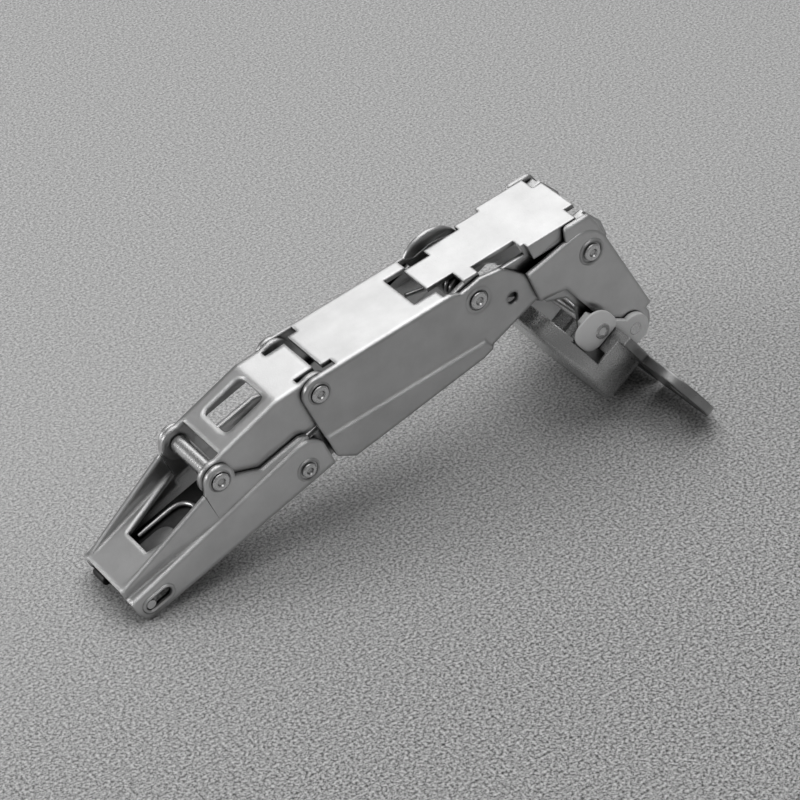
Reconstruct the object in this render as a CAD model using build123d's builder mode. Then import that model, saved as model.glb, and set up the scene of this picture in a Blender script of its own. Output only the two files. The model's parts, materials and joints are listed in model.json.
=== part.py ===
from build123d import *
import os
from math import asin, atan2, cos, degrees, hypot, radians, sin

os.makedirs("parts", exist_ok=True)

# Wide-angle concealed hinge, standing open on a table as an arch: the arm at the left, the cup at
# the right. Side outlines are drawn in the arm's own frame: x forward along the arm, y away from
# the cabinet wall, with the arm pivot as its zero.

# Pivots of the crossed-lever linkage, in the arm's frame
arm_pivot = (0.0, 0.0)
rear_pivot = (28.0, 0.8)
base_pivot = (17.1, -13.4)
crossing_pivot = (68.7, -8.4)
front_pivot = (96.4, -18.2)

# The cup: centre of its mouth, how far the hinge stands open, and its two pivots as
# (height over the door face, distance from the mouth's centre away from the door's edge)
cup_centre = (91.6, -42.7)
open_angle = 165.0
cup_pivot_seat = (-0.4, -5.8)
cup_link_pivot_seat = (5.0, 3.0)

# Sheets and running gaps
link_sheet = 1.2
arm_sheet = 1.2
bracket_sheet = 1.5
side_gap = 0.3
running_gap = 0.06

# Rivets and pins
pin_radius = 1.5
base_pin_radius = 1.25
head_height = 0.8
head_bevel = 0.3
head_ratio = 1.4
dimple_depth = 0.5
dish_height = 0.25
dish_width = 0.9

# Arm
arm_rear = -30.4
arm_front = 23.0
arm_top = -6.5
arm_web_rear = -8.4
arm_ledge_rear = -10.4
arm_bottom = -17.0
arm_rear_slope = 1.2
arm_nose = 5.5
arm_window_rear = -20.5
arm_window_half = 4.2
arm_bend = 0.9
ear_radius = 3.6
ear_neck = 4.4
ear_front = 21.0
ear_sill = 0.9
rib_rear = -29.4
rib_front = -4.6
rib_rear_half = 8.0

# Clip latch in the rear of the arm
latch_pin_x = -26.9
latch_pin_y = -13.7
latch_pin_radius = 1.1
latch_travel = 4.0
latch_slot_gap = 0.25
latch_front = 3.5
latch_sheet = 1.0
latch_bottom = -15.6
latch_drop = 3.4
latch_skirt = 14.0
latch_wire = 1.2
latch_loop_front = -6.0
latch_loop_rear = -19.0
latch_loop_half = 4.2

# Short link between the arm and the cover link
short_half = 8.5
short_top = 4.0
short_ridge = 19.6
short_ridge_top = 5.6
short_end_top = 3.9
short_web_rear = 3.4
short_web_front = 25.6
short_tongue_front = 30.6
short_tongue_half = 5.6
short_window_rear = 7.4
short_window_front = 18.6
short_window_half = 4.9
short_window_corner = 1.5
short_eye = 4.1
short_belly_rear = (8.0, -6.4)
short_belly_front = (25.0, -7.4)
short_relief = 0.8
short_relief_rear = 6.0

# Cover link, the outer crossed lever
cover_eye = 3.9
cover_web_rear = 32.2
cover_notch = 2.4
cover_notch_half = 6.6
cover_web_front = 62.4
cover_rear_height = 3.9
cover_slope = 0.2
cover_bend = 1.0
cover_left = 24.1
cover_bottom = -19.7
cover_heel = (63.4, -22.4)
cover_corner = 3.6
cover_tail = 82.4
cover_shoulder = 76.5
cover_crest = 4.3
cover_crease_rear = -9.4
cover_crease_front = 66.0
cover_band_step = 0.9
cover_recess_rear = 56.8
cover_recess_half = 6.0
cover_neck = 3.4
neck_height = 3.4
neck_reach = 19.0
neck_foot = 12.0
cover_hole = (75.9, -14.9)
cover_hole_radius = 1.5

# Inner link, the other crossed lever
inner_web_rear = 68.2
inner_web_front = 99.4
inner_tongue_rear = 61.4
inner_tongue_half = 4.4
inner_rise = 0.7
inner_rear_eye = 4.0
inner_eye = 5.0
inner_lobe = 102.6
inner_foot = -24.0
inner_cut_rear = 72.0
inner_cut_front = 83.2
inner_cut_depth = 2.7
inner_lip_rear = 84.2
inner_lip = 4.2
inner_corner = 2.4
inner_corner_half = 5.8
inner_heel = 9.5
inner_chin = 3.5
slot_play = 0.35

# The two open pivots of the linkage: how far the pin wanders in its slot, from (x, y) to (x, y)
base_wander = ((-1.65, -0.96), (1.75, 1.5))
front_wander = ((-5.6, -1.3), (3.45, 0.25))

# Cup link, a plate on each side
cup_link_top = -11.3
cup_link_rear = 80.9
cup_link_knee = (87.4, -22.2)
cup_link_crown = 5.2
cup_link_right = 101.0
cup_link_belly = (104.0, -42.6)
cup_link_inside = (92.9, -40.4)
cup_link_eye = 5.4

# Cup bowl and wing
bowl_radius = 17.5
bowl_depth = 11.0
bowl_wall = 0.9
bowl_floor = 1.1
bowl_edge = 1.6
wing_sheet = 2.2
wing_margin = 2.1
ear_spacing = 48.0
ear_offset = 15.0
wing_ear = 9.0
screw_hole = 5.0
cutaway_margin = 4.2
cutaway_depth = 6.0
cutaway_shoulder = 2.4
shelf_sheet = 1.5
relief_start = 8.0
relief_depth = 5.0

# Bracket in the bowl that carries the cup's two pins
bracket_lobe = 3.7
bracket_rear = -9.0
bracket_tip = -12.0
bracket_tip_height = 2.0
bracket_front = 7.0
bracket_base_sheet = 1.2
bracket_rivet_x = 7.0
bracket_rivet_radius = 1.4

# Closing spring on the crossing pin
spring_wire = 1.1
spring_pitch = 1.7
spring_turns = 5
spring_leg = 9.0
bush_radius = 2.1
spacer_radius = 3.3

# Rim of the wing round the bowl
wing_rim = bowl_radius + wing_margin

# Side layers, from the middle plane outwards
ear_inner = short_half + side_gap
ear_outer = ear_inner + arm_sheet
arm_half = ear_outer + arm_sheet - 0.2
cover_inner = short_half + side_gap
cover_outer = cover_inner + link_sheet
inner_outer = cover_inner - side_gap
inner_inner = inner_outer - link_sheet
cup_link_inner = cover_outer + side_gap
cup_link_outer = cup_link_inner + link_sheet
bracket_inner = cup_link_outer + side_gap
bracket_outer = bracket_inner + bracket_sheet

# How the open hinge stands: the arm's lower rear edge and the bowl's lowest edge on the table
cup_tilt = radians(180.0 - open_angle)


def cup_point(n, w):
    """A point given over the door face, n out of it and w away from the door's edge."""
    return (
        cup_centre[0] + n * cos(cup_tilt) + w * sin(cup_tilt),
        cup_centre[1] + n * sin(cup_tilt) - w * cos(cup_tilt),
    )


cup_pivot = cup_point(*cup_pivot_seat)
cup_link_pivot = cup_point(*cup_link_pivot_seat)
arm_foot = (arm_rear + arm_rear_slope, arm_bottom)
bowl_edge_centre = cup_point(bowl_edge - bowl_depth, bowl_radius - bowl_edge)
foot_run = bowl_edge_centre[0] - arm_foot[0]
foot_drop = bowl_edge_centre[1] - arm_foot[1]
arm_tilt = asin(bowl_edge / hypot(foot_run, foot_drop)) - atan2(foot_drop, foot_run)


def across(point):
    return point[0] * cos(arm_tilt) - point[1] * sin(arm_tilt)


def above(point):
    return point[0] * sin(arm_tilt) + point[1] * cos(arm_tilt)


left_end = across((arm_rear, arm_web_rear))
wing_edge = cup_point(wing_sheet, ear_offset + wing_ear)
right_end = max(across(cup_link_belly), across(cup_link_pivot) + cup_link_eye, across(wing_edge))
stand_x = -(left_end + right_end) / 2
stand_z = -above(arm_foot)


def place(point):
    """World position of a point of the middle plane given in the arm's frame."""
    return (stand_x + across(point), 0.0, stand_z + above(point))


lateral = (0, -1, 0)
side = Plane(origin=place((0, 0)), x_dir=(cos(arm_tilt), 0, sin(arm_tilt)), z_dir=lateral)
cup_turn = arm_tilt + cup_tilt
cup_normal = (cos(cup_turn), 0, sin(cup_turn))
cup_side = Plane(origin=place(cup_centre), x_dir=cup_normal, z_dir=lateral)
wing_plane = Plane(origin=place(cup_centre), x_dir=lateral, z_dir=cup_normal)



def finish(piece, name):
    piece.part.label = name
    export_step(piece.part, f"parts/{name}.step")


def layers(inner, sheet):
    """Offsets of the two mirrored plates whose inner faces lie at this distance."""
    return (inner, -inner - sheet)


def drill(point, radius):
    """Hole through both sides of the piece being built."""
    with BuildSketch(side) as hole:
        with Locations(point):
            Circle(radius)
    extrude(hole.sketch, amount=bracket_outer * 2, both=True, mode=Mode.SUBTRACT)


def cut_side(points, half):
    """Opening through the middle of the piece being built, seen from the side."""
    with BuildSketch(side) as opening:
        Polygon(*points, align=None)
    extrude(opening.sketch, amount=half, both=True, mode=Mode.SUBTRACT)


def window(rear, front, height, half, corner):
    """Rounded opening through a web at this height, seen from above."""
    web_plane = Plane(origin=place(((rear + front) / 2, height)), x_dir=side.x_dir, z_dir=side.y_dir)
    with BuildSketch(web_plane) as opening:
        RectangleRounded(front - rear, 2 * half, corner)
    extrude(opening.sketch, amount=3 * link_sheet, both=True, mode=Mode.SUBTRACT)


def long_edges(piece, half, direction):
    """Upper outer edges of a folded piece along this direction, at this distance from the middle."""
    along = [edge for edge in piece.edges().filter_by(Axis((0, 0, 0), direction)) if edge.length > half]
    outer = [edge for edge in along if abs(abs(edge.center().Y) - half) < 0.01]
    top = max(side.to_local_coords(edge.center()).Y for edge in outer)
    return [edge for edge in outer if side.to_local_coords(edge.center()).Y > top - 1]


def dish(point, inner, outer_face):
    """Low pressed ring round a rivet, on both outer faces of the piece being built."""
    for offset, outward in ((outer_face, 1), (-outer_face, -1)):
        with BuildSketch(side.offset(offset)) as ring:
            with Locations(point):
                Circle(inner + dish_width)
                Circle(inner, mode=Mode.SUBTRACT)
        extrude(ring.sketch, amount=outward * dish_height, taper=20)


def slot(wander, pivot, radius):
    """Long hole in which the pin at this pivot is free to wander."""
    start = (pivot[0] + wander[0][0], pivot[1] + wander[0][1])
    end = (pivot[0] + wander[1][0], pivot[1] + wander[1][1])
    middle = ((start[0] + end[0]) / 2, (start[1] + end[1]) / 2)
    length = hypot(end[0] - start[0], end[1] - start[1])
    angle = degrees(atan2(end[1] - start[1], end[0] - start[0]))
    with BuildSketch(side) as hole:
        with Locations(Location((*middle, 0), (0, 0, angle))):
            SlotCenterToCenter(length, 2 * radius)
    extrude(hole.sketch, amount=bracket_outer * 2, both=True, mode=Mode.SUBTRACT)


def rivet(point, outer, radius):
    """Turned rivet across the hinge, with a bevelled and dimpled head at each end."""
    across_plane = Plane(origin=place(point), x_dir=lateral, z_dir=side.x_dir)
    tip = outer + head_height
    head = radius * head_ratio
    outer_end = [
        (outer, radius),
        (outer, head),
        (tip - head_bevel, head),
        (tip, head - head_bevel),
        (tip, radius * 0.7),
        (tip - dimple_depth, radius * 0.5),
        (tip - dimple_depth, 0),
    ]
    inner_end = [(-x, r) for x, r in reversed(outer_end)]
    with BuildSketch(across_plane) as turned:
        Polygon(*inner_end, *outer_end, align=None)
    revolve(turned.sketch, axis=Axis(place(point), lateral))


def ledge_height(x):
    """Top of the ledge along the arm's walls, which falls to the rear."""
    rise = (arm_top - arm_ledge_rear) / (arm_front - arm_nose - arm_rear)
    return arm_ledge_rear + rise * (x - arm_rear)


# Arm: a channel folded from sheet, open below and towards the links, with two ears
with BuildPart() as hinge_arm:
    ledge_run = (arm_front - arm_nose - arm_rear, arm_top - arm_ledge_rear)
    with BuildSketch(side):
        with BuildLine():
            wall = Polyline(
                (arm_front, arm_bottom),
                arm_foot,
                (arm_rear, (arm_ledge_rear + arm_bottom) / 2),
                (arm_rear, arm_ledge_rear),
                (arm_front - arm_nose, arm_top),
            )
            nose = JernArc((arm_front - arm_nose, arm_top), ledge_run, arm_nose, -72)
            Line(nose @ 1, (arm_front, arm_bottom))
        make_face()
    extrude(amount=arm_half, both=True)
    ledge_direction = (side.x_dir * ledge_run[0] + side.y_dir * ledge_run[1]).normalized()
    fillet(long_edges(hinge_arm, arm_half, ledge_direction), arm_bend)
    cut_side(
        [
            (arm_rear - 1, arm_bottom - 1),
            (arm_front + 1, arm_bottom - 1),
            (arm_front + 1, ledge_height(arm_front + 1) - arm_sheet),
            (arm_rear - 1, ledge_height(arm_rear - 1) - arm_sheet),
        ],
        arm_half - arm_sheet,
    )
    # between the ledges the channel is open above
    web_plane = Plane(origin=place((0, arm_top)), x_dir=side.x_dir, z_dir=side.y_dir)
    rib_inner = rib_rear_half - arm_sheet
    with BuildSketch(web_plane):
        Polygon(
            (arm_rear - 1, rib_inner),
            (rib_front, ear_inner),
            (arm_front + 1, ear_inner),
            (arm_front + 1, -ear_inner),
            (rib_front, -ear_inner),
            (arm_rear - 1, -rib_inner),
            align=None,
        )
    extrude(amount=arm_top - arm_bottom, both=True, mode=Mode.SUBTRACT)
    # web over the rear of the channel, raised above the ledges, with its window
    web_run = (rib_front - arm_rear, arm_top - arm_web_rear)
    raised_plane = Plane(
        origin=place((arm_rear, arm_web_rear)),
        x_dir=side.x_dir * web_run[0] + side.y_dir * web_run[1],
        z_dir=side.y_dir * web_run[0] - side.x_dir * web_run[1],
    )
    window_run = arm_window_rear - arm_rear
    with BuildSketch(raised_plane):
        Polygon(
            (0, rib_rear_half),
            (web_run[0], ear_outer),
            (web_run[0], -ear_outer),
            (0, -rib_rear_half),
            align=None,
        )
        Polygon(
            (window_run, arm_window_half),
            (web_run[0] + 1, ear_inner),
            (web_run[0] + 1, -ear_inner),
            (window_run, -arm_window_half),
            align=None,
            mode=Mode.SUBTRACT,
        )
    extrude(amount=-arm_sheet)
    # ears, with a low sill in front of them
    for offset in layers(ear_inner, arm_sheet):
        with BuildSketch(side.offset(offset)):
            with Locations(arm_pivot):
                Circle(ear_radius)
            Polygon(
                (rib_front, ledge_height(rib_front) - arm_sheet),
                (ear_front, ledge_height(ear_front) - arm_sheet),
                (ear_front, arm_top),
                (ear_front - 2 * ear_sill, arm_top + ear_sill),
                (2 * ear_neck, arm_top + ear_sill),
                (ear_radius * 0.9, -ear_radius * 0.5),
                (-ear_radius * 0.8, ear_radius * 0.6),
                (-ear_neck, -ear_radius * 0.3),
                align=None,
            )
        extrude(amount=arm_sheet)
    # from each ear a rib runs down to the rear, closing in, and joins the web to the ledge
    rib_height = -ear_radius * 0.3
    rib_foot = arm_ledge_rear - arm_sheet
    with BuildSketch(web_plane.offset(rib_foot - arm_top)):
        for sign in (1, -1):
            Polygon(
                (rib_front, sign * ear_inner),
                (rib_front, sign * ear_outer),
                (arm_rear, sign * rib_rear_half),
                (arm_rear, sign * rib_inner),
                align=None,
            )
    extrude(amount=rib_height - rib_foot)
    cut_side(
        [
            (arm_rear - 1, arm_web_rear),
            (rib_rear, arm_web_rear),
            (rib_front, rib_height),
            (rib_front, rib_height + 1),
            (arm_rear - 1, rib_height + 1),
        ],
        arm_half,
    )
    drill(arm_pivot, pin_radius)
    drill(base_pivot, base_pin_radius)
    slot(((0, 0), (latch_travel, 0)), (latch_pin_x, latch_pin_y), latch_pin_radius + latch_slot_gap)
finish(hinge_arm, "hinge_arm")

# Clip latch: a small channel that slides in the rear of the arm
latch_half = rib_rear_half - arm_sheet - side_gap
latch_top = arm_top - arm_sheet - latch_drop
latch_rear = arm_rear + arm_rear_slope
with BuildPart() as latch_slide:
    with BuildSketch(side):
        Polygon(
            (latch_rear, latch_bottom),
            (latch_rear + latch_skirt, latch_bottom),
            (latch_rear + latch_skirt + 2, latch_top - 2 * latch_sheet),
            (latch_front, latch_top - 2 * latch_sheet),
            (latch_front, latch_top),
            (latch_rear, latch_top),
            align=None,
        )
    extrude(amount=latch_half, both=True)
    cut_side(
        [
            (latch_rear - 1, latch_bottom - 1),
            (latch_front + 1, latch_bottom - 1),
            (latch_front + 1, latch_top - latch_sheet),
            (latch_rear - 1, latch_top - latch_sheet),
        ],
        latch_half - latch_sheet,
    )
    drill((latch_pin_x, latch_pin_y), latch_pin_radius)
finish(latch_slide, "latch_slide")

with BuildPart() as latch_pin:
    with BuildSketch(side):
        with Locations((latch_pin_x, latch_pin_y)):
            Circle(latch_pin_radius)
    extrude(amount=arm_half, both=True)
finish(latch_pin, "latch_pin")

# Bent wire spring lying on the latch, under the window
loop_y = latch_top + latch_wire / 2
loop_bend = latch_loop_front - latch_loop_half
loop_plane = Plane(origin=place((0, loop_y)), x_dir=side.x_dir, z_dir=side.y_dir)
with BuildPart() as latch_spring:
    with BuildLine(loop_plane) as loop_line:
        near_leg = Line((latch_loop_rear, latch_loop_half), (loop_bend, latch_loop_half))
        CenterArc((loop_bend, 0), latch_loop_half, 90, -180)
        Line((loop_bend, -latch_loop_half), (latch_loop_rear, -latch_loop_half))
    with BuildSketch(Plane(origin=near_leg @ 0, x_dir=lateral, z_dir=near_leg % 0)):
        RegularPolygon(latch_wire / 2, 8, major_radius=False, rotation=22.5)
    sweep(path=loop_line.line)
finish(latch_spring, "latch_spring")

def short_height(x):
    """Top of the short link's web, which is bent along a ridge, at this place along the arm."""
    if x < short_ridge:
        rise = (short_ridge_top - short_top) / (short_ridge - short_web_rear)
    else:
        rise = (short_end_top - short_ridge_top) / (short_tongue_front - short_ridge)
    return short_ridge_top + rise * (x - short_ridge)


# Short link: a bracket with a window, between the arm's ears and inside the cover link
with BuildPart() as short_link:
    near_belly = (short_belly_rear, short_belly_front)
    far_belly = ((short_relief_rear, short_relief), (short_ridge, short_relief))
    for offset, belly in zip(layers(short_half - link_sheet, link_sheet), (near_belly, far_belly)):
        with BuildSketch(side.offset(offset)):
            with Locations(arm_pivot, rear_pivot):
                Circle(short_eye)
            Polygon(
                (arm_pivot[0], arm_pivot[1] - short_eye),
                *belly,
                (rear_pivot[0], rear_pivot[1] - short_eye),
                (rear_pivot[0], rear_pivot[1] + short_eye),
                (short_web_front, short_height(short_web_front)),
                (short_ridge, short_height(short_ridge)),
                (short_web_rear, short_height(short_web_rear)),
                (arm_pivot[0], arm_pivot[1] + short_eye * 0.9),
                align=None,
            )
        extrude(amount=link_sheet)
    # web with its ridge, narrowing to a tongue between the eyes of the rear pivot
    for start, end, half in (
        (short_web_rear, short_ridge, short_half),
        (short_ridge, short_web_front, short_half),
        (short_web_front, short_tongue_front, short_tongue_half),
    ):
        with BuildSketch(side):
            Polygon(
                (start, short_height(start) - link_sheet),
                (end, short_height(end) - link_sheet),
                (end, short_height(end)),
                (start, short_height(start)),
                align=None,
            )
        extrude(amount=half, both=True)
    window(short_window_rear, short_window_front, short_ridge_top, short_window_half, short_window_corner)
    drill(arm_pivot, pin_radius + running_gap)
    drill(rear_pivot, pin_radius + running_gap)
finish(short_link, "short_link")


def cover_height(x):
    """Top of the cover link's web at this place along the arm."""
    return cover_rear_height - cover_slope * (x - cover_web_rear)


# Cover link: web, two deep flanges with an outset lower band, and a neck down to the cup
neck_bend = cup_point(neck_height, -neck_reach)
neck_drop = cup_point(neck_height, -neck_foot)
crease_rear = (cover_left, cover_crease_rear)
crease_front = (cover_crease_front, cover_bottom + 0.9)
with BuildPart() as cover_link:
    with BuildSketch(side):
        with BuildLine():
            lower = Polyline(
                (cover_left, rear_pivot[1]),
                (cover_left, cover_bottom + cover_corner),
                (cover_left + cover_corner, cover_bottom),
                cover_heel,
                (cover_tail, cover_bottom),
                (cover_tail, crossing_pivot[1] - cover_crest - 1.2),
                (cover_shoulder, crossing_pivot[1] + cover_crest * 0.55),
                (crossing_pivot[0] + cover_crest * 0.6, crossing_pivot[1] + cover_crest),
                (crossing_pivot[0] - cover_crest * 0.6, crossing_pivot[1] + cover_crest),
                (cover_web_front + link_sheet, cover_height(cover_web_front + link_sheet)),
                (cover_web_rear, cover_height(cover_web_rear)),
                (rear_pivot[0], rear_pivot[1] + cover_eye),
            )
            Line(lower @ 1, lower @ 0)
        make_face()
        with Locations(rear_pivot):
            Circle(cover_eye)
    extrude(amount=cover_outer, both=True)
    web_slope = (side.x_dir - side.y_dir * cover_slope).normalized()
    fillet(long_edges(cover_link, cover_outer, web_slope), cover_bend)
    # the neck on each side, from the tail to the cup's pivot
    for offset in layers(cover_inner, link_sheet):
        with BuildSketch(side.offset(offset)):
            with BuildLine():
                Polyline((cover_tail - cover_neck, cover_bottom + cover_neck), neck_bend, neck_drop, cup_pivot)
            trace(line_width=2 * cover_neck)
            with Locations(cup_pivot):
                Circle(cover_neck)
        extrude(amount=link_sheet)
    # open below and at both ends
    cut_side(
        [
            (cover_left - 1, cover_heel[1] - 1),
            (cover_tail + 1, cover_heel[1] - 1),
            (cover_tail + 1, cover_height(cover_web_front) + 2),
            (cover_web_front, cover_height(cover_web_front) + 2),
            (cover_web_front, cover_height(cover_web_front) - link_sheet),
            (cover_web_rear, cover_height(cover_web_rear) - link_sheet),
            (cover_web_rear, cover_rear_height + 2),
            (cover_left - 1, cover_rear_height + 2),
        ],
        cover_inner,
    )
    # recess in the web for the inner link's tongue
    cut_side(
        [
            (cover_recess_rear, cover_height(cover_recess_rear) - 2 * link_sheet),
            (cover_web_front + 1, cover_height(cover_web_front) - 2 * link_sheet),
            (cover_web_front + 1, cover_rear_height),
            (cover_recess_rear, cover_rear_height),
        ],
        cover_recess_half,
    )
    # the band below the crease stands out from the flange, over a slanting bend
    margin = 2 * cover_band_step
    band = [
        (cover_left - margin, cover_crease_rear),
        (cover_left - margin, cover_heel[1] - margin),
        (cover_crease_front + margin, cover_heel[1] - margin),
        crease_front,
    ]
    for offset, outward in ((cover_outer, 1), (-cover_outer, -1)):
        with BuildSketch(side.offset(offset)):
            Polygon(*band, align=None)
        extrude(amount=outward * cover_band_step, taper=40)
    trim = cover_outer + 2 * cover_band_step
    for outline in (
        [
            (cover_left - 2 * margin, cover_crease_rear + 1),
            (cover_left - 2 * margin, cover_heel[1] - 2 * margin),
            (cover_left, cover_heel[1] - 2 * margin),
            (cover_left, cover_crease_rear + 1),
        ],
        [
            (cover_left - 1, cover_heel[1] - 2 * margin),
            (cover_tail, cover_heel[1] - 2 * margin),
            (cover_tail, cover_bottom),
            cover_heel,
            (cover_left + cover_corner, cover_bottom),
            (cover_left - 1, cover_bottom),
        ],
        [
            (cover_left - 1, cover_bottom - 1),
            (cover_left + cover_corner, cover_bottom - 1),
            (cover_left + cover_corner, cover_bottom),
            (cover_left, cover_bottom + cover_corner),
            (cover_left - 1, cover_bottom + cover_corner),
        ],
    ):
        cut_side(outline, trim)
    inset = link_sheet
    hollow = [
        (cover_left - 1, cover_crease_rear - 2 * inset),
        (cover_left - 1, cover_heel[1] - 1),
        (cover_heel[0] - 2 * inset, cover_heel[1] - 1),
        (cover_heel[0] - 2 * inset, crease_front[1] - 2 * inset),
    ]
    cut_side(hollow, cover_inner + cover_band_step)
    # notches beside the rear pivot's eyes
    ear_notch = cover_inner - cover_notch_half
    for offset in layers(cover_notch_half, ear_notch):
        with BuildSketch(side.offset(offset)):
            Polygon(
                (cover_web_rear - 1, rear_pivot[1]),
                (cover_web_rear + cover_notch, rear_pivot[1]),
                (cover_web_rear + cover_notch, cover_rear_height + 1),
                (cover_web_rear - 1, cover_rear_height + 1),
                align=None,
            )
        extrude(amount=ear_notch, mode=Mode.SUBTRACT)
    drill(rear_pivot, pin_radius)
    drill(crossing_pivot, pin_radius)
    drill(cup_pivot, pin_radius + running_gap)
    drill(cover_hole, cover_hole_radius)
    dish(crossing_pivot, pin_radius * head_ratio + side_gap, cover_outer)
finish(cover_link, "cover_link")


def inner_height(x):
    """Top of the inner link's web at this place along the arm."""
    return cover_height(x) + inner_rise


# Inner link: two legs into the arm, a web in front of the crossing and a slotted eye at each end
with BuildPart() as inner_link:
    for offset in layers(inner_inner, link_sheet):
        with BuildSketch(side.offset(offset)):
            with Locations(base_pivot):
                Circle(inner_rear_eye)
            with Locations(crossing_pivot):
                Circle(inner_eye)
            Polygon(
                (base_pivot[0], base_pivot[1] - inner_rear_eye),
                (crossing_pivot[0], crossing_pivot[1] - inner_eye),
                (crossing_pivot[0], crossing_pivot[1] + inner_eye),
                (base_pivot[0], base_pivot[1] + inner_rear_eye),
                align=None,
            )
            Polygon(
                (inner_web_rear, crossing_pivot[1]),
                (crossing_pivot[0] + inner_eye * 0.6, crossing_pivot[1] - inner_eye * 0.8),
                (front_pivot[0] - inner_heel, inner_foot),
                (inner_lobe - inner_chin, inner_foot),
                (inner_lobe, front_pivot[1] - inner_chin / 2),
                (inner_lobe, front_pivot[1] + inner_chin * 0.7),
                (inner_web_front, inner_height(inner_web_front)),
                (inner_web_rear, inner_height(inner_web_rear)),
                align=None,
            )
        extrude(amount=link_sheet)
    # web and tongue
    for start, end, half in (
        (inner_web_rear, inner_web_front, inner_outer),
        (inner_tongue_rear, inner_web_rear + link_sheet, inner_tongue_half),
    ):
        with BuildSketch(side):
            Polygon(
                (start, inner_height(start) - link_sheet),
                (end, inner_height(end) - link_sheet),
                (end, inner_height(end)),
                (start, inner_height(start)),
                align=None,
            )
        extrude(amount=half, both=True)
    # in front of the cover link the web is wider, with a lip folded down on each side
    lip_half = cup_link_inner - side_gap
    with BuildSketch(side):
        Polygon(
            (inner_lip_rear, inner_height(inner_lip_rear) - inner_lip),
            (inner_web_front, inner_height(inner_web_front) - inner_lip),
            (inner_web_front, inner_height(inner_web_front)),
            (inner_lip_rear, inner_height(inner_lip_rear)),
            align=None,
        )
    extrude(amount=lip_half, both=True)
    cut_side(
        [
            (inner_lip_rear - 1, inner_height(inner_lip_rear) - 2 * inner_lip),
            (inner_web_front + 1, inner_height(inner_web_front) - 2 * inner_lip),
            (inner_web_front + 1, inner_height(inner_web_front + 1) - link_sheet),
            (inner_lip_rear - 1, inner_height(inner_lip_rear - 1) - link_sheet),
        ],
        inner_inner,
    )
    # cut-out along the web's near edge
    with BuildSketch(side.offset(inner_outer - inner_cut_depth)):
        Polygon(
            (inner_cut_rear, inner_height(inner_cut_rear) - 3.0),
            (inner_cut_front, inner_height(inner_cut_front) - 3.0),
            (inner_cut_front, inner_height(inner_cut_front) + 1),
            (inner_cut_rear, inner_height(inner_cut_rear) + 1),
            align=None,
        )
    extrude(amount=inner_cut_depth + 1, mode=Mode.SUBTRACT)
    # the web's front corners are notched
    corner_width = lip_half - inner_corner_half
    for offset in layers(inner_corner_half, corner_width):
        with BuildSketch(side.offset(offset)):
            Polygon(
                (inner_web_front - inner_corner, inner_height(inner_web_front) - link_sheet),
                (inner_web_front + 1, inner_height(inner_web_front) - link_sheet),
                (inner_web_front + 1, inner_height(inner_web_front) + 2),
                (inner_web_front - inner_corner, inner_height(inner_web_front) + 2),
                align=None,
            )
        extrude(amount=corner_width, mode=Mode.SUBTRACT)
    slot(base_wander, base_pivot, base_pin_radius + slot_play)
    slot(front_wander, front_pivot, pin_radius + slot_play)
    drill(crossing_pivot, pin_radius + running_gap)
finish(inner_link, "inner_link")

# Cup link: one plate on each side, outside all the others
for name, offset in zip(("cup_link_near", "cup_link_far"), layers(cup_link_inner, link_sheet)):
    with BuildPart() as cup_link:
        with BuildSketch(side.offset(offset)):
            with BuildLine():
                edge = Polyline(
                    (front_pivot[0] - 3.4, cup_link_top),
                    (cup_link_rear, cup_link_top),
                    (cup_link_rear, cup_link_knee[1] + 2.4),
                    cup_link_knee,
                    cup_link_inside,
                    cup_link_pivot,
                    cup_link_belly,
                    (cup_link_right, front_pivot[1] + 0.6),
                )
                crown = (front_pivot[0] + cup_link_crown * 0.4, front_pivot[1] + cup_link_crown)
                ThreePointArc(edge @ 1, crown, edge @ 0)
            make_face()
            with Locations(cup_link_pivot):
                Circle(cup_link_eye)
        extrude(amount=link_sheet)
        drill(front_pivot, pin_radius)
        drill(cup_link_pivot, pin_radius + running_gap)
    finish(cup_link, name)

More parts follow.
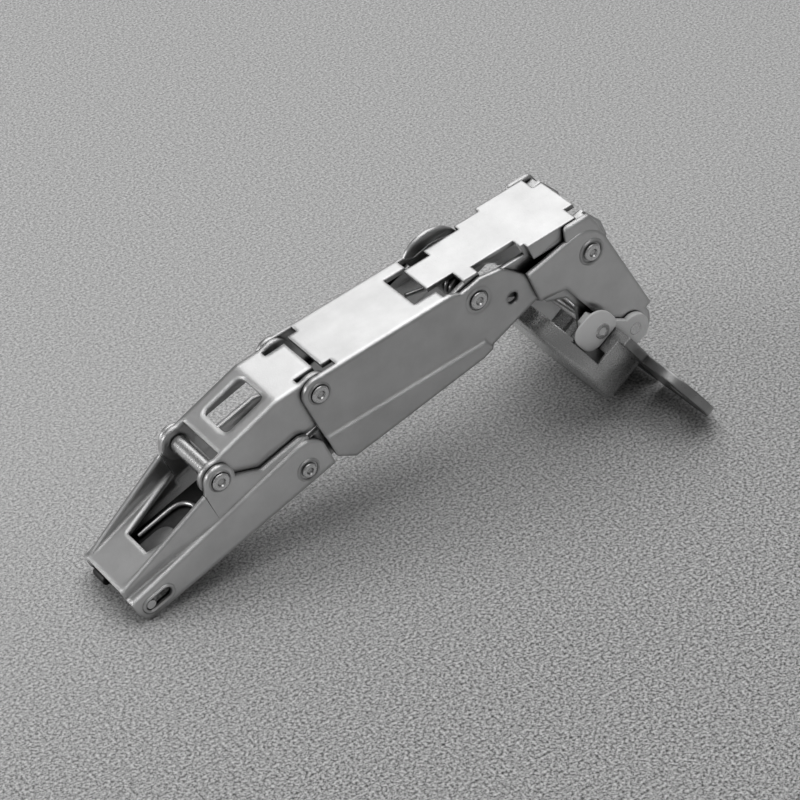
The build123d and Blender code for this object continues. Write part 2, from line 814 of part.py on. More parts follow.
# Cup: drawn bowl and wing in one piece, cut away towards the door's edge
with BuildPart() as hinge_cup:
    with BuildSketch(wing_plane):
        Circle(bowl_radius)
    extrude(amount=-bowl_depth)
    fillet(hinge_cup.faces().sort_by(Axis((0, 0, 0), cup_normal))[0].edges(), bowl_edge)
    with BuildSketch(wing_plane):
        with Locations((ear_spacing / 2, ear_offset), (-ear_spacing / 2, ear_offset)):
            Circle(wing_ear)
        make_hull()
        Circle(wing_rim)
    extrude(amount=wing_sheet)
    # the bowl is round inside, and its mouth is narrowed by a shelf on each side
    shelf = cutaway_shoulder + shelf_sheet
    with BuildSketch(wing_plane.offset(bowl_floor - bowl_depth)):
        Circle(bowl_radius - bowl_wall)
    extrude(amount=bowl_depth - bowl_floor - shelf, mode=Mode.SUBTRACT)
    with BuildSketch(wing_plane.offset(-shelf)):
        Circle(bowl_radius - bowl_wall)
        Rectangle(2 * (bracket_outer + side_gap), 2 * bowl_radius, mode=Mode.INTERSECT)
    extrude(amount=shelf + wing_sheet, mode=Mode.SUBTRACT)
    head_margin = pin_radius * head_ratio + side_gap
    for depth, half, margin in (
        (cutaway_depth, bracket_outer + side_gap, cutaway_margin),
        (cutaway_shoulder, 2 * wing_rim, head_margin),
    ):
        with BuildSketch(wing_plane.offset(-depth)):
            with Locations((0, cup_pivot_seat[1] + margin - wing_rim)):
                Rectangle(2 * half, 2 * wing_rim)
        extrude(amount=depth + wing_sheet + 1, mode=Mode.SUBTRACT)
    relief_width = link_sheet + 2 * side_gap
    relief_place = cup_link_inner - side_gap + relief_width / 2
    with BuildSketch(wing_plane.offset(-relief_depth)):
        with Locations((relief_place, relief_start + wing_rim / 2), (-relief_place, relief_start + wing_rim / 2)):
            Rectangle(relief_width, wing_rim)
    extrude(amount=relief_depth + wing_sheet + 1, mode=Mode.SUBTRACT)
    with BuildSketch(wing_plane):
        with Locations((ear_spacing / 2, ear_offset), (-ear_spacing / 2, ear_offset)):
            Circle(screw_hole / 2)
    extrude(amount=wing_sheet, mode=Mode.SUBTRACT)
    with BuildSketch(wing_plane.offset(-bowl_depth)):
        with Locations((bracket_rivet_x, 0), (-bracket_rivet_x, 0)):
            Circle(bracket_rivet_radius)
    extrude(amount=bowl_floor, mode=Mode.SUBTRACT)
finish(hinge_cup, "hinge_cup")

# Bracket in the bowl: a base on the floor and two walls with eyes for the pins
base_n = bowl_floor - bowl_depth
with BuildPart() as cup_bracket:
    for offset in layers(bracket_inner, bracket_sheet):
        with BuildSketch(cup_side.offset(offset)):
            with Locations(
                (cup_pivot_seat[0], -cup_pivot_seat[1]),
                (cup_link_pivot_seat[0], -cup_link_pivot_seat[1]),
            ):
                Circle(bracket_lobe)
            Polygon(
                (base_n, -bracket_rear),
                (base_n, -bracket_front),
                (cup_link_pivot_seat[0] - 1.0, -bracket_front + 0.4),
                (cup_link_pivot_seat[0] + bracket_lobe * 0.6, -cup_link_pivot_seat[1]),
                (cup_pivot_seat[0] + bracket_lobe * 0.7, -cup_pivot_seat[1]),
                (cup_pivot_seat[0] + bracket_lobe * 0.2, -bracket_tip),
                (cup_pivot_seat[0] - bracket_tip_height, -bracket_tip),
                (cup_pivot_seat[0] - 2 * bracket_tip_height, -bracket_rear),
                align=None,
            )
        extrude(amount=bracket_sheet)
    with BuildSketch(cup_side):
        Polygon(
            (base_n, -bracket_rear),
            (base_n, -bracket_front),
            (base_n + bracket_base_sheet, -bracket_front),
            (base_n + bracket_base_sheet, -bracket_rear),
            align=None,
        )
    extrude(amount=bracket_outer, both=True)
    drill(cup_pivot, pin_radius)
    drill(cup_link_pivot, pin_radius)
    with BuildSketch(wing_plane.offset(base_n)):
        with Locations((bracket_rivet_x, 0), (-bracket_rivet_x, 0)):
            Circle(bracket_rivet_radius)
    extrude(amount=bracket_base_sheet, mode=Mode.SUBTRACT)
finish(cup_bracket, "cup_bracket")

with BuildPart() as bracket_rivets:
    with BuildSketch(wing_plane.offset(-bowl_depth)):
        with Locations((bracket_rivet_x, 0), (-bracket_rivet_x, 0)):
            Circle(bracket_rivet_radius)
    extrude(amount=bowl_floor + bracket_base_sheet)
    with BuildSketch(wing_plane.offset(base_n + bracket_base_sheet)):
        with Locations((bracket_rivet_x, 0), (-bracket_rivet_x, 0)):
            Circle(bracket_rivet_radius * 1.7)
    extrude(amount=0.8)
finish(bracket_rivets, "bracket_rivets")

# Pins and rivets of the seven pivots
for name, point, outer, radius in (
    ("arm_pin", arm_pivot, ear_outer, pin_radius),
    ("rear_pin", rear_pivot, cover_outer, pin_radius),
    ("crossing_pin", crossing_pivot, cover_outer, pin_radius),
    ("base_pin", base_pivot, arm_half, base_pin_radius),
    ("front_pin", front_pivot, cup_link_outer, pin_radius),
    ("cup_pin", cup_pivot, bracket_outer, pin_radius),
):
    with BuildPart() as pin:
        rivet(point, outer, radius)
    finish(pin, name)

# the cup link's own rivets are flush on both faces
stub = bracket_outer - cup_link_inner
with BuildPart() as cup_link_rivets:
    for offset in layers(cup_link_inner, stub):
        with BuildSketch(side.offset(offset)):
            with Locations(cup_link_pivot):
                Circle(pin_radius)
        extrude(amount=stub)
finish(cup_link_rivets, "cup_link_rivets")

# Bushes on the pins and spacers beside the inner link's slotted eye
for name, point, half in (
    ("arm_bush", arm_pivot, short_half - link_sheet - side_gap),
    ("rear_bush", rear_pivot, short_half - link_sheet - side_gap),
    ("crossing_bush", crossing_pivot, inner_inner - side_gap),
):
    with BuildPart() as bush:
        with BuildSketch(side):
            with Locations(point):
                Circle(bush_radius)
                Circle(pin_radius + running_gap, mode=Mode.SUBTRACT)
        extrude(amount=half, both=True)
    finish(bush, name)

with BuildPart() as front_spacers:
    spacer = cup_link_inner - inner_outer - side_gap
    for offset in layers(cup_link_inner - spacer, spacer):
        with BuildSketch(side.offset(offset)):
            with Locations(front_pivot):
                Circle(spacer_radius)
                Circle(pin_radius + running_gap, mode=Mode.SUBTRACT)
        extrude(amount=spacer)
finish(front_spacers, "front_spacers")

# Closing spring: a coil on the crossing bush with a leg at each end
coil_radius = bush_radius + side_gap + spring_wire / 2
coil_height = spring_pitch * spring_turns
coil_start = place(crossing_pivot)
with BuildPart() as closing_spring:
    with BuildLine():
        coil = Helix(
            pitch=spring_pitch,
            height=coil_height,
            radius=coil_radius,
            center=(coil_start[0], coil_height / 2, coil_start[2]),
            direction=lateral,
        )
    with BuildSketch(Plane(origin=coil @ 0, z_dir=coil % 0)):
        RegularPolygon(spring_wire / 2, 6)
    sweep(path=coil)
    with BuildSketch(Plane(origin=coil @ 1, z_dir=coil % 1)):
        RegularPolygon(spring_wire / 2, 6)
    extrude(amount=spring_leg)
    with BuildSketch(Plane(origin=coil @ 0, z_dir=coil % 0)):
        RegularPolygon(spring_wire / 2, 6)
    extrude(amount=-spring_leg)
finish(closing_spring, "closing_spring")
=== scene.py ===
import bpy
import json
import math
from mathutils import Matrix, Vector


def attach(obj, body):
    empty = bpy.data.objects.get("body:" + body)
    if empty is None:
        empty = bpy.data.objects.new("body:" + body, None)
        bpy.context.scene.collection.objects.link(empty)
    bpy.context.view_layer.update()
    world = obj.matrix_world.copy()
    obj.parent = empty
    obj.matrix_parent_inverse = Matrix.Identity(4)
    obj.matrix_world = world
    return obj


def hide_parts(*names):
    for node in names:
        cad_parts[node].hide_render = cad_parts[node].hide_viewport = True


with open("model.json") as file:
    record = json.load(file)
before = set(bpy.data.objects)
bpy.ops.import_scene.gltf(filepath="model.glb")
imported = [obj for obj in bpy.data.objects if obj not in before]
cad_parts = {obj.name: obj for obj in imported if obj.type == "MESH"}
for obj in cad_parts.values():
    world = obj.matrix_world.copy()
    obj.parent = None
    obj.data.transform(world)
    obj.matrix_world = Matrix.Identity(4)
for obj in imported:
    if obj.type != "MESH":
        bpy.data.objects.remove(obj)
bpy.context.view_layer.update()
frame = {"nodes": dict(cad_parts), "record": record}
nodes = frame["nodes"]
record = frame["record"]
scene = bpy.context.scene
scene.view_settings.view_transform = "Standard"
mm = 0.001
tiny = 1e-6  # metres, closer than any two real corners
sides = {"Near": 1, "Far": -1}


def makeMaterial(name):
    material = bpy.data.materials.new(name)
    material.use_nodes = True
    tree = material.node_tree
    return material, tree, tree.nodes["Principled BSDF"]


def addNode(tree, kind, **values):
    node = tree.nodes.new(kind)
    for key, value in values.items():
        if key in node.inputs:
            node.inputs[key].default_value = value
        else:
            setattr(node, key, value)
    return node


def greyRamp(tree, span, tones):
    # from one grey to another, over this span of the factor
    ramp = addNode(tree, "ShaderNodeValToRGB")
    for stop, position, tone in zip(ramp.color_ramp.elements, span, tones):
        stop.position = position
        stop.color = (tone, tone, tone, 1)
    return ramp


# What all the plated steel shares
surface = {
    "stains": {"Scale": 110.0, "Detail": 5.0, "Roughness": 0.6}, "stainSpan": (0.32, 0.70),
    "grain": {"Scale": 2600.0, "Detail": 2.0, "Roughness": 0.6}, "roughSpread": 0.07,
    "bump": {"Strength": 0.25, "Distance": 0.0001}, "dirtStart": 0.18, "dirtSamples": 8, "edgeSamples": 6,
}


def plating(name, look):
    # nickel over pressed steel: slow stains, fine grain, painted shade that darkens the colour in corners
    # and recesses by ambient occlusion, and softly rounded edges
    material, tree, shader = makeMaterial(name)
    link = tree.links.new
    place = addNode(tree, "ShaderNodeTexCoord")
    stains = addNode(tree, "ShaderNodeTexNoise", **surface["stains"])
    grain = addNode(tree, "ShaderNodeTexNoise", **surface["grain"])
    link(place.outputs["Object"], stains.inputs["Vector"])
    link(place.outputs["Object"], grain.inputs["Vector"])
    stained = (look["tone"] - look["spread"], look["tone"] + look["spread"])
    tone = greyRamp(tree, surface["stainSpan"], stained)
    link(stains.outputs["Fac"], tone.inputs["Fac"])
    # painted shade: ambient occlusion darkens the base colour wherever other surfaces crowd in, standing in
    # for shade in corners, dimples and inside the channels
    reach = look["dirtReach"] * mm
    corner = addNode(tree, "ShaderNodeAmbientOcclusion", samples=surface["dirtSamples"], Distance=reach)
    dirt = greyRamp(tree, (surface["dirtStart"], look["dirtEnd"]), (look["dirt"], 1))
    link(corner.outputs["AO"], dirt.inputs["Fac"])
    shadeMix = addNode(tree, "ShaderNodeMix", data_type="RGBA", blend_type="MULTIPLY", Factor=1.0)
    link(tone.outputs["Color"], shadeMix.inputs["A"])
    link(dirt.outputs["Color"], shadeMix.inputs["B"])
    link(shadeMix.outputs["Result"], shader.inputs["Base Color"])
    rough = addNode(tree, "ShaderNodeMapRange")
    rough.inputs["To Min"].default_value = look["roughness"] - surface["roughSpread"]
    rough.inputs["To Max"].default_value = look["roughness"] + surface["roughSpread"]
    link(grain.outputs["Fac"], rough.inputs["Value"])
    link(rough.outputs["Result"], shader.inputs["Roughness"])
    edge = addNode(tree, "ShaderNodeBevel", samples=surface["edgeSamples"], Radius=look["edge"] * mm)
    bump = addNode(tree, "ShaderNodeBump", **surface["bump"])
    link(grain.outputs["Fac"], bump.inputs["Height"])
    link(edge.outputs["Normal"], bump.inputs["Normal"])
    link(bump.outputs["Normal"], shader.inputs["Normal"])
    shader.inputs["Metallic"].default_value = look["metal"]
    return material


# Edges and the reach of the painted shade in corners are in mm; each finish lists what differs from the
# usual one
usualLook = {"spread": 0.05, "dirt": 0.05, "dirtReach": 8.0, "dirtEnd": 0.68, "metal": 1.0}
looks = {
    "arm_plating": {"tone": 0.70, "roughness": 0.32, "edge": 1.5, "dirtReach": 13.0},
    "link_plating": {"tone": 0.66, "roughness": 0.32, "edge": 1.8, "dirt": 0.03, "dirtReach": 14.0},
    "cover_plating": {"tone": 0.59, "roughness": 0.33, "edge": 1.2, "dirt": 0.03, "dirtReach": 14.0},
    "inner_plating": {"tone": 0.60, "roughness": 0.30, "edge": 0.7, "dirt": 0.03, "dirtReach": 14.0},
    "cup_plating": {"tone": 0.52, "roughness": 0.28, "edge": 0.6},
    # the latch's near-black tone is painted shade, for the dark inside of the arm where it sits
    "latch_plating": {"tone": 0.05, "roughness": 0.50, "edge": 0.3, "spread": 0.02, "dirtReach": 12.0},
    "rivet_steel": {
        "tone": 0.76, "roughness": 0.24, "edge": 0.3, "dirt": 0.04, "dirtReach": 1.6, "dirtEnd": 0.92,
    },
    "bush_steel": {"tone": 0.60, "roughness": 0.28, "edge": 0.3, "dirt": 0.15, "dirtReach": 4.0},
    "spring_wire": {"tone": 0.45, "roughness": 0.30, "edge": 0.4, "dirt": 0.15, "dirtReach": 4.0},
    # painted highlight: the bracket is made near white and matt to show the light the lug catches
    "bracket_plating": {
        "tone": 0.92, "roughness": 0.50, "edge": 0.5, "spread": 0.03, "dirt": 0.10, "dirtReach": 4.0,
        "metal": 0.15,
    },
    # the wing's darker tone is painted shade
    "wing_plating": {"tone": 0.34, "roughness": 0.30, "edge": 0.6},
    # the leaf's dark grey is painted shade, for the shaded window it lies in
    "leaf_steel": {"tone": 0.20, "roughness": 0.40, "edge": 0.3, "dirt": 0.10, "dirtReach": 4.0},
}
finishes = {name: plating(name, {**usualLook, **look}) for name, look in looks.items()}
slotOf = {entry["node"]: entry["material_slot"] for entry in record["subparts"]}
paintedHighlightNodes = {"cup_bracket": "bracket_plating"}  # painted highlight: whiter and less metallic than the bowl that holds it, standing in for the light the lug catches
for name, node in nodes.items():
    node.data.materials.clear()
    node.data.materials.append(finishes[paintedHighlightNodes.get(name, slotOf[name])])
print("materials done")

# Two sets of places, in mm: from the arm's rivet along the arm, up and to the near side,
# and from the cup's pin out of the cup, back along it and to the near side
joints = {entry["name"]: entry for entry in record["behaviour"]["joints"]}
mounts = {entry["name"]: entry for entry in record["mounts"]}
nearSide = Vector((0.0, -1.0, 0.0))
armOrigin = Vector(joints["arm_pivot"]["pos_m"])
armAlong = Vector(joints["latch_slide"]["axis"])
armUp = Vector((-armAlong.z, 0.0, armAlong.x))
cupOrigin = Vector(joints["cup_pivot"]["pos_m"])
cupOut = Vector(mounts["cup_screws"]["axis"])
cupBack = Vector((-cupOut.z, 0.0, cupOut.x))


def armPlace(along, up, side):
    return armOrigin + (armAlong * along + armUp * up + nearSide * side) * mm


def cupPlace(out, back, side):
    return cupOrigin + (cupOut * out + cupBack * back + nearSide * side) * mm


def selectOnly(piece):
    bpy.ops.object.select_all(action="DESELECT")
    piece.select_set(True)
    bpy.context.view_layer.objects.active = piece


def selectVertices(piece, wanted):
    bpy.ops.object.mode_set(mode="EDIT")
    bpy.ops.mesh.select_mode(type="VERT")
    bpy.ops.mesh.select_all(action="DESELECT")
    bpy.ops.object.mode_set(mode="OBJECT")
    for vertex in piece.data.vertices:
        vertex.select = wanted(vertex.co)
    bpy.ops.object.mode_set(mode="EDIT")


def setDown(piece, place, along, outward):
    # local X goes along, local Z points outward, then the place goes into the mesh
    turn = Matrix((along, outward.cross(along), outward)).transposed().to_4x4()
    piece.matrix_world = Matrix.Translation(place) @ turn
    selectOnly(piece)
    bpy.ops.object.transform_apply(location=True, rotation=True, scale=True)


def keepPiece(piece, slot, body, look=None):
    piece.data.materials.clear()
    piece.data.materials.append(finishes[look or slot])
    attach(piece, body)


# Rims and dishes pressed round the holes and rivets; a long hole's rim is stretched along the arm
pressedRings = {
    "slotRim": {
        "place": (-26.9, -13.7, 11.0), "radius": 1.75, "width": 0.9, "height": 0.40, "stretch": 4.0,
        "slot": "arm_plating", "body": "arm",
    },
    "baseDish": {
        "place": (17.1, -13.4, 11.0), "radius": 2.55, "width": 0.7, "height": 0.30, "stretch": 0.0,
        "slot": "arm_plating", "body": "arm",
    },
    "earDish": {
        "place": (0.0, 0.0, 10.0), "radius": 2.45, "width": 0.5, "height": 0.25, "stretch": 0.0,
        "slot": "arm_plating", "body": "arm",
    },
    "rearDish": {
        "place": (28.0, 0.8, 10.0), "radius": 2.5, "width": 0.6, "height": 0.28, "stretch": 0.0,
        "slot": "cover_plating", "body": "cover_link",
    },
    "frontDish": {
        "place": (96.4, -18.2, 11.5), "radius": 2.9, "width": 0.9, "height": 0.30, "stretch": 0.0,
        "slot": "link_plating", "body": "cup_link",
    },
}
ringMesh = {"major_segments": 56, "minor_segments": 12}


def pressedRing(name, spec, sign):
    bpy.ops.object.select_all(action="DESELECT")
    bpy.ops.mesh.primitive_torus_add(
        major_radius=spec["radius"] * mm, minor_radius=spec["width"] / 2 * mm, **ringMesh
    )
    ring = bpy.context.object
    ring.name = name
    selectVertices(ring, lambda corner: corner.x > tiny)  # the half that is pulled along
    bpy.ops.transform.translate(value=(spec["stretch"] * mm, 0, 0))
    bpy.ops.mesh.select_all(action="SELECT")
    bpy.ops.transform.resize(value=(1, 1, 2 * spec["height"] / spec["width"]))
    bpy.ops.object.mode_set(mode="OBJECT")
    bpy.ops.object.shade_smooth()
    along, up, side = spec["place"]
    setDown(ring, armPlace(along, up, sign * side), armAlong, nearSide * sign)
    keepPiece(ring, spec["slot"], spec["body"])


for name, spec in pressedRings.items():
    for side, sign in sides.items():
        pressedRing(name + side, spec, sign)
print("pressed rings done")

wireMesh = {"order": 3, "steps": 6, "round": 3}


def bentWire(name, points, thick):
    # a smooth wire along these places
    bpy.ops.object.select_all(action="DESELECT")
    bpy.ops.curve.primitive_nurbs_path_add()
    wire = bpy.context.object
    wire.name = name
    wire.data.splines.clear()
    spline = wire.data.splines.new("NURBS")
    spline.points.add(len(points) - 1)
    for point, place in zip(spline.points, points):
        point.co = (*place, 1)
    spline.order_u = wireMesh["order"]
    spline.use_endpoint_u = True
    spline.resolution_u = wireMesh["steps"]
    wire.data.bevel_depth = thick / 2 * mm
    wire.data.bevel_resolution = wireMesh["round"]
    wire.data.use_fill_caps = True
    bpy.ops.object.convert(target="MESH")
    bpy.ops.object.shade_smooth()
    return bpy.context.object


# The latch's wire loop, lying on the latch under the window
latchLoop = {
    "rear": -19.0, "front": -6.0, "half": 4.2, "up": -10.5, "thick": 1.2,
    "lead": 3.0, "bulge": 1.04, "bend": (-60, -30, 0, 30, 60),
}


def loopPoints(loop):
    # forward along one leg, round the bend and back along the other
    bendAt = loop["front"] - loop["half"]
    reach = loop["half"] * loop["bulge"]
    leg = (loop["rear"], bendAt - loop["lead"], bendAt)
    places = [(along, loop["half"]) for along in leg]
    for angle in map(math.radians, loop["bend"]):
        places.append((bendAt + reach * math.cos(angle), -reach * math.sin(angle)))
    places += [(along, -loop["half"]) for along in reversed(leg)]
    return [armPlace(along, loop["up"], side) for along, side in places]


loopWire = bentWire("latchLoop", loopPoints(latchLoop), latchLoop["thick"])
keepPiece(loopWire, "spring_wire", "latch")
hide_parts("latch_spring")

rimSegments = 3
plateSmooth = math.radians(35)


def thicken(plate, move, bevel):
    # the flat plate, open in edit mode, is pulled out to its thickness and its rim rounded
    bpy.ops.mesh.select_all(action="SELECT")
    bpy.ops.mesh.extrude_region_move(TRANSFORM_OT_translate={"value": move})
    bpy.ops.mesh.select_all(action="SELECT")
    bpy.ops.mesh.normals_make_consistent(inside=False)
    bpy.ops.object.mode_set(mode="OBJECT")
    soft = plate.modifiers.new("soft", "BEVEL")
    soft.width = bevel * mm
    soft.segments = rimSegments
    bpy.ops.object.modifier_apply(modifier="soft")
    bpy.ops.object.shade_smooth_by_angle(angle=plateSmooth)


# Rounded leaf on the latch, at the rear of the window
latchLeaf = {
    "rear": -20.2, "front": -12.6, "half": 3.0, "up": -11.1, "side": 1.0, "thick": 0.6, "bevel": 0.2,
    "segments": 48,
}


def makeLeaf(leaf):
    bpy.ops.object.select_all(action="DESELECT")
    bpy.ops.mesh.primitive_circle_add(
        vertices=leaf["segments"], radius=leaf["half"] * mm, fill_type="NGON"
    )
    plate = bpy.context.object
    plate.name = "latchLeaf"
    selectVertices(plate, lambda corner: corner.x < -tiny)  # the rear half becomes a straight shank
    bpy.ops.transform.resize(value=(0, 1, 1))
    bpy.ops.transform.translate(value=((leaf["rear"] - leaf["front"] + leaf["half"]) * mm, 0, 0))
    bpy.ops.mesh.select_all(action="SELECT")
    bpy.ops.mesh.remove_doubles(threshold=tiny)
    thicken(plate, (0, 0, leaf["thick"] * mm), leaf["bevel"])
    setDown(plate, armPlace(leaf["front"] - leaf["half"], leaf["up"], leaf["side"]), armAlong, armUp)
    return plate


# the leaf gets a dark grey finish: painted shade
keepPiece(makeLeaf(latchLeaf), "latch_plating", "latch", "leaf_steel")

# Closing spring: turns round the crossing rivet, with a straight leg at each end
closingCoil = {
    "radius": 2.95, "turns": 5, "pitch": 1.7, "leg": 9.0, "drift": 0.82, "thick": 1.1, "perTurn": 16,
}


def coilPoints(coil):
    centre = Vector(joints["crossing_pivot"]["pos_m"])
    half = coil["turns"] * coil["pitch"] / 2
    steps = coil["turns"] * coil["perTurn"]
    points = [(-coil["leg"], half + coil["drift"], -coil["radius"])]
    for step in range(steps + 1):
        turn = 2 * math.pi * step / coil["perTurn"]
        back = half - 2 * half * step / steps
        points.append((coil["radius"] * math.sin(turn), back, -coil["radius"] * math.cos(turn)))
    points.append((coil["leg"], -half - coil["drift"], -coil["radius"]))
    return [centre + Vector(point) * mm for point in points]


coilWire = bentWire("closingCoil", coilPoints(closingCoil), closingCoil["thick"])
keepPiece(coilWire, "spring_wire", "inner_link")
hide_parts("closing_spring")
print("leaf, loop and coil done")


def roundedOutline(corners, steps=6):
    # each corner is along, up and the radius of the arc that rounds it
    outline = []
    for index, (along, up, radius) in enumerate(corners):
        corner = Vector((along, up))
        before = (Vector(corners[index - 1][:2]) - corner).normalized()
        after = (Vector(corners[(index + 1) % len(corners)][:2]) - corner).normalized()
        half = before.angle(after) / 2
        centre = corner + (before + after).normalized() * (radius / math.sin(half))
        start = corner + before * (radius / math.tan(half)) - centre
        end = corner + after * (radius / math.tan(half)) - centre
        outline += [centre + start.slerp(end, step / steps) * radius for step in range(steps + 1)]
    return outline


def sidePlate(name, spec, sign, placeAt=armPlace):
    # a flat plate parallel to the hinge's sides, from its corners in mm
    outline = roundedOutline(spec["corners"])
    bpy.ops.object.select_all(action="DESELECT")
    bpy.ops.mesh.primitive_circle_add(vertices=len(outline), radius=mm, fill_type="NGON")
    plate = bpy.context.object
    plate.name = name
    for vertex, (along, up) in zip(plate.data.vertices, outline):
        vertex.co = placeAt(along, up, sign * spec["inner"])
    bpy.ops.object.mode_set(mode="EDIT")
    thicken(plate, nearSide * sign * (spec["outer"] - spec["inner"]) * mm, spec["bevel"])
    return plate


# Upper corner of each cup link, which reaches up to the edge of the inner link's web
linkCrown = {
    "corners": (
        (91.6, -12.4, 0.5), (93.2, -7.7, 1.0), (99.7, -9.0, 1.0), (100.6, -13.0, 0.5),
        (100.9, -17.2, 0.5), (98.0, -19.5, 0.5), (94.0, -17.0, 0.5),
    ),
    "inner": 10.35, "outer": 11.45, "bevel": 0.25,
}
for side, sign in sides.items():
    keepPiece(sidePlate("linkCrown" + side, linkCrown, sign), "link_plating", "cup_link")

# Tall lobe of the cover link's far side, beside the crossing rivet
farLobe = {
    "corners": ((60.9, -10.5, 0.6), (60.9, -0.7, 8.6), (78.3, -0.7, 8.6), (78.3, -10.5, 0.6)),
    "inner": 8.85, "outer": 9.95, "bevel": 0.3,
}
keepPiece(sidePlate("farLobe", farLobe, sides["Far"]), "cover_plating", "cover_link")

# Lugs round the cup's pin, placed from that pin; they take the bracket's whitened finish, a painted
# highlight
pinLug = {
    "corners": ((4.1, -2.5, 2.4), (4.1, 6.7, 5.0), (-6.2, 6.7, 3.6), (-6.2, -2.5, 3.8)),
    "inner": 13.35, "outer": 13.95, "bevel": 0.2,
}
for side, sign in sides.items():
    keepPiece(sidePlate("pinLug" + side, pinLug, sign, cupPlace), "cup_plating", "cup", "bracket_plating")

# Heel of the latch, showing below the rear edge of the arm's web; its near-black latch finish is painted
# shade
latchHeel = {
    "corners": ((-27.0, -11.2, 0.5), (-31.3, -10.9, 1.1), (-31.3, -13.6, 1.1), (-27.0, -13.1, 0.5)),
    "inner": -6.2, "outer": -1.6, "bevel": 0.3,
}
keepPiece(sidePlate("latchHeel", latchHeel, sides["Near"]), "latch_plating", "latch")
print("side plates done")

copySmooth = math.radians(25)


def nodeCopy(node, name):
    # a copy of the CAD mesh with its loose triangles merged, so that it can be cut
    copy = bpy.data.objects.new(name, nodes[node].data.copy())
    scene.collection.objects.link(copy)
    selectOnly(copy)
    bpy.ops.object.mode_set(mode="EDIT")
    bpy.ops.mesh.select_all(action="SELECT")
    bpy.ops.mesh.remove_doubles(threshold=tiny)
    bpy.ops.object.mode_set(mode="OBJECT")
    bpy.ops.mesh.customdata_custom_splitnormals_clear()
    return copy


def cutBox(piece, notch, sign, placeAt, along, up):
    # takes a box out of the piece, on the side that the sign says
    spans = (notch["along"], notch["up"], notch["side"])
    alongMiddle, upMiddle, sideMiddle = [(first + last) / 2 for first, last in spans]
    bpy.ops.object.select_all(action="DESELECT")
    bpy.ops.mesh.primitive_cube_add(size=1.0)
    tool = bpy.context.object
    tool.scale = [(last - first) * mm for first, last in spans]
    bpy.ops.object.transform_apply(location=False, rotation=False, scale=True)
    turn = Matrix((along, up, nearSide)).transposed().to_4x4()
    tool.matrix_world = Matrix.Translation(placeAt(alongMiddle, upMiddle, sign * sideMiddle)) @ turn
    bpy.context.view_layer.update()
    bpy.context.view_layer.objects.active = piece
    cut = piece.modifiers.new("cut", "BOOLEAN")
    cut.operation = "DIFFERENCE"
    cut.solver = "EXACT"
    cut.object = tool
    bpy.ops.object.modifier_apply(modifier="cut")
    bpy.data.objects.remove(tool)


def keepCopy(piece, node, slot, body):
    selectOnly(piece)
    bpy.ops.object.shade_smooth_by_angle(angle=copySmooth)
    keepPiece(piece, slot, body)
    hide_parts(node)


# The inner link's web is also cut out along its far edge, so that the far lobe shows
farNotch = {"along": (64.0, 77.6), "up": (-7.6, 0.5), "side": (6.8, 9.2)}
innerLink = nodeCopy("inner_link", "innerLinkNotched")
cutBox(innerLink, farNotch, sides["Far"], armPlace, armAlong, armUp)
keepCopy(innerLink, "inner_link", "inner_plating", "inner_link")

# The bowl's wall is cut lower in front of the lugs, and its wing gets a darker finish than the bowl, which
# is painted shade; placed from the cup's pin
lugNotch = {"along": (-6.4, 4.4), "up": (-2.55, 7.4), "side": (13.35, 21.0)}
wingFrom = 0.3  # mm out from the pin, just above the bowl's mouth
bowl = nodeCopy("hinge_cup", "hingeCupNotched")
for sign in sides.values():
    cutBox(bowl, lugNotch, sign, cupPlace, cupOut, cupBack)
keepCopy(bowl, "hinge_cup", "cup_plating", "cup")
bowl.data.materials.append(finishes["wing_plating"])
for face in bowl.data.polygons:
    if (face.center - cupOrigin).dot(cupOut) > wingFrom * mm:
        face.material_index = 1
print("notched copies done")

# Floor: pale paper, with a speckle that is stronger in front of the hinge than behind it and darker there, a
# painted shade towards the camera
floorLook = {
    "size": 6.0, "roughness": 0.9, "grain": {"Scale": 1500.0, "Detail": 2.0, "Roughness": 0.8},
    "span": (0.34, 0.66), "backTones": (0.24, 0.62), "frontTones": (0.03, 0.68),
    "backY": 0.06, "frontY": -0.08,
}


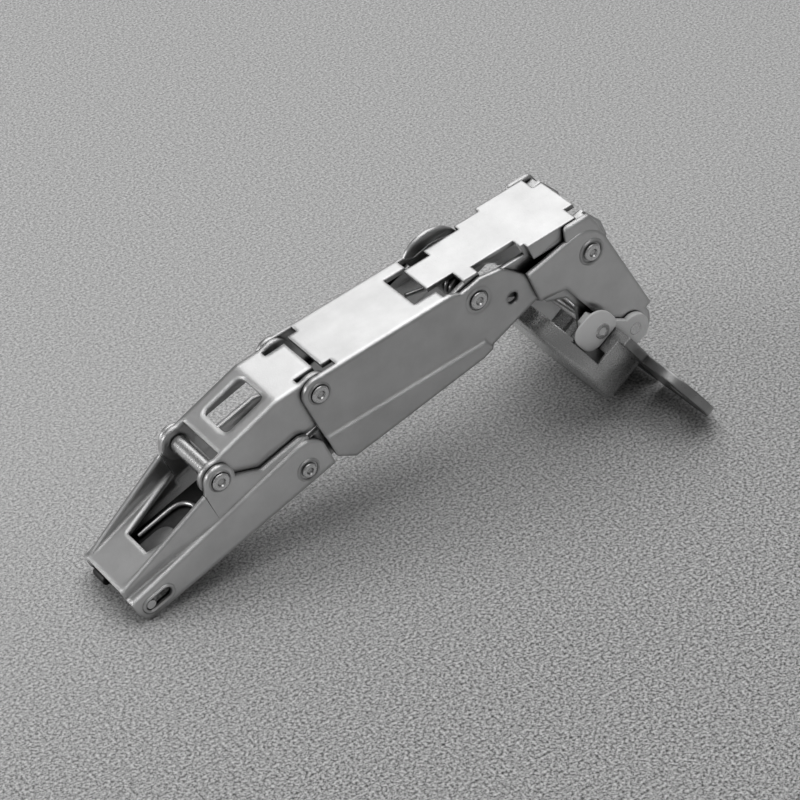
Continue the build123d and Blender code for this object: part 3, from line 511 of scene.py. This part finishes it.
def floorPaper(look):
    material, tree, shader = makeMaterial("floorPaper")
    link = tree.links.new
    place = addNode(tree, "ShaderNodeTexCoord")
    grain = addNode(tree, "ShaderNodeTexNoise", **look["grain"])
    link(place.outputs["Object"], grain.inputs["Vector"])
    depth = addNode(tree, "ShaderNodeSeparateXYZ")
    link(place.outputs["Object"], depth.inputs["Vector"])
    # painted shade: the floor's colour turns darker and more speckled towards the front
    front = addNode(tree, "ShaderNodeMapRange")
    front.inputs["From Min"].default_value = look["backY"]
    front.inputs["From Max"].default_value = look["frontY"]
    link(depth.outputs["Y"], front.inputs["Value"])
    mix = addNode(tree, "ShaderNodeMix", data_type="RGBA")
    link(front.outputs["Result"], mix.inputs["Factor"])
    for socket, tones in (("A", look["backTones"]), ("B", look["frontTones"])):
        ramp = greyRamp(tree, look["span"], tones)
        link(grain.outputs["Fac"], ramp.inputs["Fac"])
        link(ramp.outputs["Color"], mix.inputs[socket])
    link(mix.outputs["Result"], shader.inputs["Base Color"])
    shader.inputs["Roughness"].default_value = look["roughness"]
    return material


bpy.ops.mesh.primitive_plane_add(size=floorLook["size"], location=(0, 0, 0))
floor = bpy.context.object
floor.name = "floor"
floor.data.materials.append(floorPaper(floorLook))
print("floor done")

# Light: a broad box overhead, smaller ones behind and low at the left, and a grey room; metres and watts
softBoxes = {
    "backBox": {"place": (0.40, 0.72, 0.72), "size": (0.75, 0.60), "power": 1.75},
    "topBox": {"place": (0.05, 0.10, 1.10), "size": (1.20, 1.20), "power": 8.0},
    "leftBox": {"place": (-0.88, 0.42, 0.34), "size": (0.40, 0.40), "power": 3.4},
}
lampAim = Vector((0, 0, 0.03))
room = {"grey": 0.5, "strength": 0.45}


def softBox(name, spec):
    bpy.ops.object.light_add(type="AREA", location=spec["place"])
    lamp = bpy.context.object
    lamp.name = name
    lamp.data.shape = "RECTANGLE"
    lamp.data.size, lamp.data.size_y = spec["size"]
    lamp.data.energy = spec["power"]
    lamp.rotation_euler = (lampAim - Vector(spec["place"])).to_track_quat("-Z", "Y").to_euler()


for name, spec in softBoxes.items():
    softBox(name, spec)
world = bpy.data.worlds.new("room")
scene.world = world
world.use_nodes = True
background = world.node_tree.nodes["Background"]
background.inputs["Color"].default_value = (*[room["grey"]] * 3, 1)
background.inputs["Strength"].default_value = room["strength"]
print("light done")

# Camera at the photo's angle
viewpoint = {
    "place": (-0.27316, -0.45949, 0.40386), "turn": (54.2698, 3.6385, -33.8693),
    "sensor": 36.0, "lens": 135.0,
}
bpy.ops.object.camera_add(location=viewpoint["place"])
camera = bpy.context.object
camera.rotation_euler = [math.radians(angle) for angle in viewpoint["turn"]]
camera.data.sensor_width = viewpoint["sensor"]
camera.data.lens = viewpoint["lens"]
scene.camera = camera
print("camera done")
